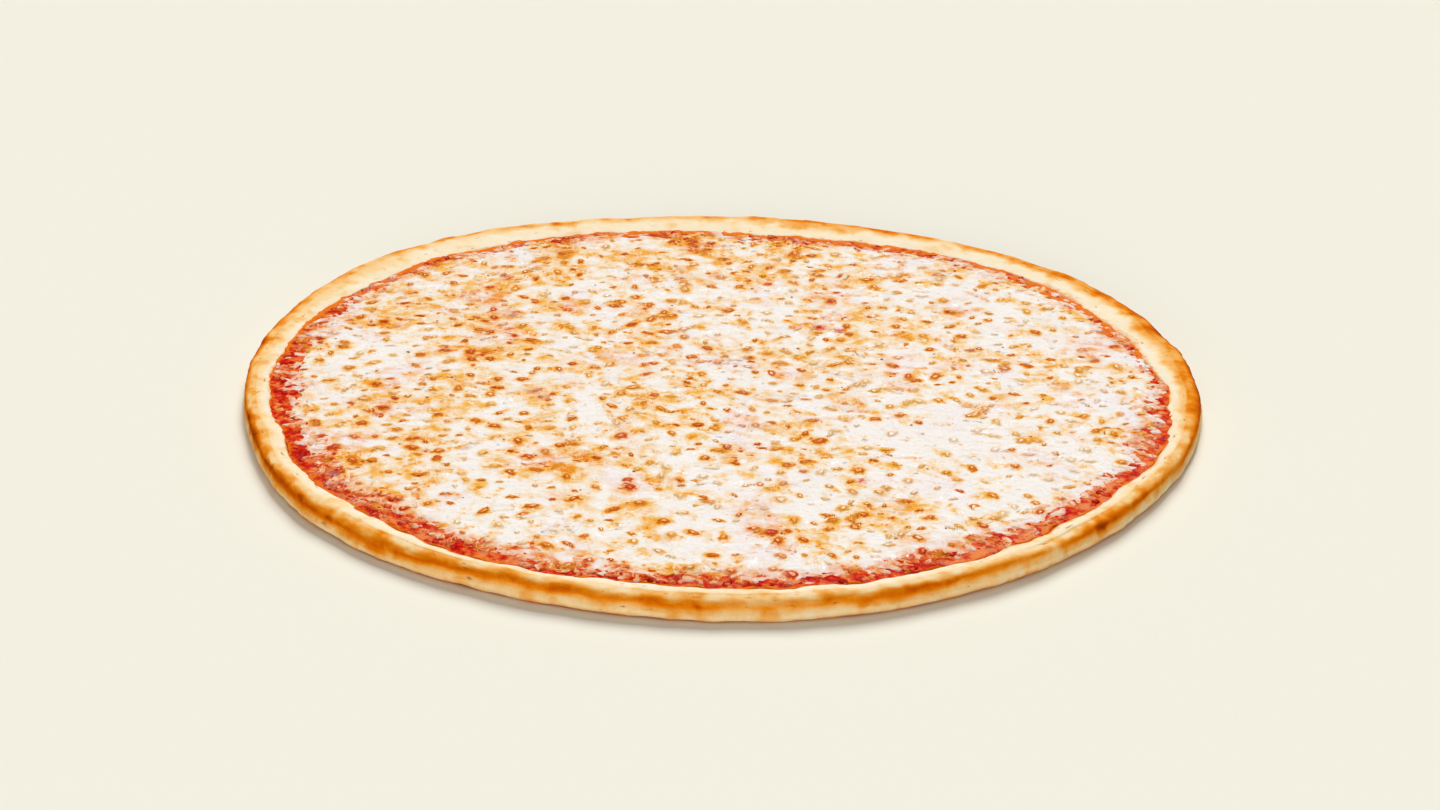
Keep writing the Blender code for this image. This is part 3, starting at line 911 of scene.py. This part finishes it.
def make_cheese():
    """The melted cheese: a lumpy sheet with blisters and a ragged rounded edge."""
    shares, turns = disc_grid(CHEESE_GRID)
    edge = at_angle(MELT_EDGE, turns)
    ragged = np.minimum(ring_layers(CHEESE_RAGGED) + CHEESE_REACH, SAUCE_RIM + CHEESE_OVERLAP - MELT_EDGE)
    radius = shares * 0.988 * edge + at_angle(ragged, turns) * shares ** 16
    flat = from_polar(radius, turns, np.zeros_like(radius))
    xs, ys, _ = flat.T
    places = all_blisters()
    shape, away, number = nearest_blister(xs, ys, places)
    browns, rises = blister_looks(places)
    holes = patches(xs, ys, HOLES)
    zs = cheese_level(radius, turns) + rough_layers(flat, CHEESE_SWELL)
    zs += 0.00016 * (1.0 - 2.0 * np.abs(rough(flat, 0.0045, 12.0, 2)))
    zs += rises[number] * (smooth(away, 1.3, 0.35) - 0.35 * smooth(away, 0.5, 0.0))
    zs -= EDGE_SINK * smooth(shares * edge, edge - 0.006, edge) + 0.0004 * np.minimum(1.0, holes)
    wash, rosy = cheese_tones(xs, ys)
    bare = smooth(edge - radius, 0.006, 0.0) * (0.3 + 1.1 * rough(flat, 0.006, 40.0, 2)) + holes
    points, faces, source = closed_sheet(radius, turns, zs)
    piece = mesh_object("melted_cheese", points, faces, cheese_material())
    looks = {"wash": wash, "rosy": rosy, "bare": bare, "brown": browns[number], "blister": shape}
    for name, values in looks.items():
        store(piece, name, values[source])
    return piece


def tone_like_cheese(piece, own):
    """Gives scraps of cheese the tones of the sheet under them, and each a number of its own on top."""
    own = np.array(own)
    xs, ys, _ = mesh_rows(piece.data).T
    wash, rosy = cheese_tones(xs, ys)
    inside, front = beside_edge(xs, ys)
    store(piece, "wash", wash + 0.25 * own)
    store(piece, "rosy", rosy + 0.5 * own)
    store(piece, "bare", smooth(inside, 0.004, -0.003) * (0.28 + 0.20 * front + 0.50 * own))
    store(piece, "blister", np.full((len(own), 3), BLISTER_FAR))


def shred_path(draw, x, y, heading, length):
    """A wandering path: x, y and heading at each station."""
    bend = draw.uniform(-1.6, 1.6) / SHRED_STATIONS
    step = length / (SHRED_STATIONS - 1)
    path = []
    for _ in range(SHRED_STATIONS):
        path.append((x, y, heading))
        x += step * cos(heading)
        y += step * sin(heading)
        heading += bend
    return np.array(path)


def edge_shred(draw):
    """A shred at the cheese's edge: its angle, radius, heading, length and half-width."""
    angle = draw.random() * tau
    radius = at_angle(MELT_EDGE, angle) - draw.uniform(-0.002, 0.010)
    heading = angle + draw.gauss(0.0, 1.3)
    return angle, radius, heading, draw.uniform(0.006, 0.012), draw.uniform(0.0012, 0.0026)


def inner_shred(draw):
    """A longer shred anywhere on the cheese."""
    angle = draw.random() * tau
    radius = (at_angle(MELT_EDGE, angle) - 0.008) * sqrt(draw.random())
    heading = draw.random() * tau
    return angle, radius, heading, draw.uniform(0.008, 0.018), draw.uniform(0.0014, 0.0024)


def shred_points(ground, path, width, height):
    """Points of a shred that lies on the ground along its path, thinner at both ends, one row of them
    for each corner of its section."""
    x, y, turn = path.T
    levels = np.pad(top_heights(ground, x, y), 1, mode="edge")
    levels = np.convolve(levels, (0.25, 0.5, 0.25), "valid")
    swell = np.sin(pi * (np.arange(SHRED_STATIONS) + 0.35) / (SHRED_STATIONS - 0.3)) ** 0.5
    points = []
    for across, up in SHRED_SECTION:
        off = width * swell * across
        row = (x - off * np.sin(turn), y + off * np.cos(turn), levels + height * swell * up)
        points += np.transpose(row).tolist()
    return points


def make_shreds(ground, finish):
    """Half-melted shreds of cheese: many at the edge over the sauce, and some all over the cheese."""
    draw = random.Random(23)
    points, faces, own = [], [], []
    kinds = [(edge_shred, EDGE_SHRED_HEIGHT)] * EDGE_SHREDS
    kinds += [(inner_shred, INNER_SHRED_HEIGHT)] * INNER_SHREDS
    for choose, flatness in kinds:
        angle, radius, heading, length, width = choose(draw)
        path = shred_path(draw, radius * cos(angle), radius * sin(angle), heading, length)
        limit = at_angle(SAUCE_RIM, np.arctan2(path[:, 1], path[:, 0]))
        if np.any(np.hypot(path[:, 0], path[:, 1]) > limit):
            continue
        tone = draw.uniform(-0.2, 1.0)
        faces += tube_faces(len(SHRED_SECTION), SHRED_STATIONS, len(points))
        points += shred_points(ground, path, width, width * flatness)
        own += [tone] * (SHRED_STATIONS * len(SHRED_SECTION))
    piece = mesh_object("cheese_shreds", points, faces, finish)
    tone_like_cheese(piece, own)
    return piece


def edge_lump(draw, angle):
    """A lump of cheese at the edge of the sheet: its distance from the middle, size and tint."""
    cheese, limit = at_angle(MELT_EDGE, angle), at_angle(SAUCE_RIM, angle)
    radius = cheese + draw.triangular(-0.006, limit - cheese, 0.0)
    size = draw.uniform(0.0016, 0.0036)
    return min(radius, limit - 0.6 * size), size, draw.uniform(0.0, 1.4)


def tomato_scrap(draw, angle):
    """A scrap of tomato in the ring of sauce."""
    radius = draw.uniform(at_angle(MELT_EDGE, angle) - 0.001, at_angle(SAUCE_RIM, angle) - 0.001)
    return radius, draw.uniform(0.0008, 0.0022), draw.random()


def herb_flake(draw, angle):
    """A flake of dried herb anywhere on the cheese and the sauce."""
    radius = at_angle(SAUCE_RIM, angle) * sqrt(draw.uniform(0.02, 0.99))
    return radius, draw.uniform(0.00035, 0.0008), draw.random()


def scatter(seed, count, choose, ground, lift):
    """Chosen places as (x, y, z, size, tint), set on the ground and lifted by a share of their size."""
    draw = random.Random(seed)
    places = []
    for _ in range(count):
        angle = draw.random() * tau
        radius, size, tint = choose(draw, angle)
        places.append((radius * cos(angle), radius * sin(angle), size, tint))
    xs, ys = np.array(places)[:, :2].T
    heights = top_heights(ground, xs, ys)
    return [(x, y, z + lift * size, size, tint) for (x, y, size, tint), z in zip(places, heights)]


def lumps_mesh(name, places, flatness, uneven, finish):
    """One mesh of many small uneven balls from (x, y, z, radius, tint), and the tint of each vertex."""
    ball = bmesh.new()
    bmesh.ops.create_icosphere(ball, subdivisions=2, radius=1.0)
    corners = np.array([vertex.co[:] for vertex in ball.verts])
    sides = [[vertex.index for vertex in face.verts] for face in ball.faces]
    ball.free()
    points, faces, tints = [], [], []
    for number, (x, y, z, radius, tint) in enumerate(places):
        swell = 1.0 + uneven * rough(corners, 0.9, number * 3.7)
        grown = corners * swell[:, None] * radius * (1.0, 1.0, flatness)
        turn = np.array(Matrix.Rotation(2.4 * number, 3, "Z"))
        start = number * len(corners)
        points.append(grown @ turn.T + (x, y, z))
        faces += [[start + corner for corner in side] for side in sides]
        tints += [tint] * len(corners)
    piece = mesh_object(name, np.concatenate(points), faces, finish)
    store(piece, "tint", tints)
    return piece, tints


def make_edge_lumps(ground, finish):
    """Melted lumps of cheese at its edge."""
    places = scatter(29, EDGE_LUMPS, edge_lump, ground, -0.14)
    piece, own = lumps_mesh("cheese_lumps", places, 0.24, 0.6, finish)
    tone_like_cheese(piece, own)
    return piece


def make_tomato(ground):
    """Scraps of tomato in the ring of sauce."""
    places = scatter(41, TOMATO_SCRAPS, tomato_scrap, ground, -0.12)
    finish = scrap_material("tomato_scraps", TOMATO_TONES, 0.002)
    return lumps_mesh("tomato_scraps", places, 0.30, 0.8, finish)[0]


def make_herbs(ground):
    """Dried herb flakes on the cheese and the sauce."""
    places = scatter(53, HERB_FLAKES, herb_flake, ground, 0.0)
    finish = scrap_material("herb_flakes", HERB_TONES, 0.0006)
    return lumps_mesh("herb_flakes", places, 0.35, 0.5, finish)[0]


def make_floor():
    """A wide sheet of studio paper."""
    work = bmesh.new()
    bmesh.ops.create_grid(work, x_segments=2, y_segments=2, size=6.0)
    mesh = bpy.data.meshes.new("studio_floor")
    work.to_mesh(mesh)
    work.free()
    mesh.materials.append(floor_material())
    made = add_object("studio_floor", mesh)


# Camera, fitted to the photograph: the spot it circles and what it looks at, in metres, its distance,
# elevation and roll in degrees, and its focal length in pixels of the image
PIVOT = Vector((-0.0020, 0.0035, 0.0))
AIM = Vector((-0.0012, 0.0035, -0.0042))
CAMERA_DISTANCE = 1.25
CAMERA_ELEVATION = 23.66
CAMERA_ROLL = 1.18
FOCAL_PIXELS = 2946.0
IMAGE_WIDTH = 1440
SENSOR_WIDTH = 36.0

# Light: strength of the studio light at the horizon and how much more there is overhead, and the lamps
# as (name, strength, apparent size, tilt back from straight down, turn), angles in degrees. The front
# fill reaches little but the sides
STUDIO_LIGHT = (0.06, 0.48)
LAMPS = (
    ("soft_key", 2.80, 26.0, 48.0, -6.0),
    ("front_fill", 2.25, 30.0, -84.0, -10.0),
    ("glint", 0.45, 2.0, 34.0, -12.0),
)


def make_camera():
    data = bpy.data.cameras.new("camera")
    data.sensor_width = SENSOR_WIDTH
    data.lens = FOCAL_PIXELS / IMAGE_WIDTH * SENSOR_WIDTH
    data.clip_end = 50.0
    camera = add_object("camera", data)
    tilt = radians(CAMERA_ELEVATION)
    place = PIVOT + CAMERA_DISTANCE * Vector((0.0, -cos(tilt), sin(tilt)))
    towards = (AIM - place).to_track_quat("-Z", "Y").to_matrix()
    turn = Matrix.Rotation(radians(CAMERA_ROLL), 3, "Z")
    camera.matrix_world = Matrix.Translation(place) @ (towards @ turn).to_4x4()
    bpy.context.scene.camera = camera


def make_lights():
    """An even studio, a wide key light at the back, a low fill in front, and a small lamp for glints."""
    world = bpy.data.worlds.new("studio")
    bpy.context.scene.world = world
    world.use_nodes = True
    studio = Nodes(world.node_tree)
    background = studio.tree.nodes["Background"]
    direction = studio.node("ShaderNodeTexCoord", {}, "Generated")
    up = studio.node("ShaderNodeSeparateXYZ", {0: direction}, "Z")
    inputs = {0: studio.times(up, up), 1: STUDIO_LIGHT[1], 2: STUDIO_LIGHT[0]}
    glow = studio.node("ShaderNodeMath", inputs, operation="MULTIPLY_ADD")
    studio.feed(background.inputs["Strength"], glow)
    studio.feed(background.inputs["Color"], (1.0, 1.0, 1.0, 1.0))
    for name, strength, size, tilt, turn in LAMPS:
        data = bpy.data.lights.new(name, "SUN")
        data.energy = strength
        data.angle = radians(size)
        lamp = add_object(name, data)
        lamp.rotation_euler = (radians(-tilt), 0.0, radians(turn))


def settle(piece, slot, *nodes):
    """Puts a piece on the pizza's body and hides the nodes it stands for; the slot argument is not used."""
    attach(piece, "root")
    if nodes:
        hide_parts(*nodes)


# Outlines at each of ANGLES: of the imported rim, sauce and cheese, read from their vertices near the top,
# and of the sauce and the melted cheese as they are shown
EDGE_DEPTH = 0.0012
RIM_EDGE = outer_edge("crust", BULGE_HEIGHT - 0.0004, BULGE_HEIGHT + 0.0004)
SAUCE_EDGE = outer_edge("sauce", SAUCE_TOP - EDGE_DEPTH, 1.0)
SAUCE_RIM = SAUCE_EDGE + ring_layers(SAUCE_WANDER)
CHEESE_EDGE = outer_edge("cheese", SAUCE_TOP - EDGE_DEPTH, 1.0)
RING = RING_WIDTH + RING_LEAN * np.cos(ANGLES - radians(RING_WIDE_SIDE)) + bumps(RING_BAYS)
MELT_EDGE = SAUCE_RIM - np.maximum(RING, NARROWEST_RING)

make_camera()
make_lights()
make_floor()
crust = make_crust()
sauce = make_sauce()
cheese = make_cheese()
settle(crust, "baked_dough", "crust")
settle(sauce, "tomato_sauce", "sauce")
settle(cheese, "melted_cheese", "cheese")
top = [tree_of(piece) for piece in (crust, sauce, cheese)]
settle(make_shreds(top, cheese.data.materials[0]), "melted_cheese")
settle(make_edge_lumps(top, cheese.data.materials[0]), "melted_cheese")
settle(make_tomato(top), "tomato_sauce")
settle(make_herbs(top), "tomato_sauce")

bpy.context.scene.view_settings.view_transform = "Standard"
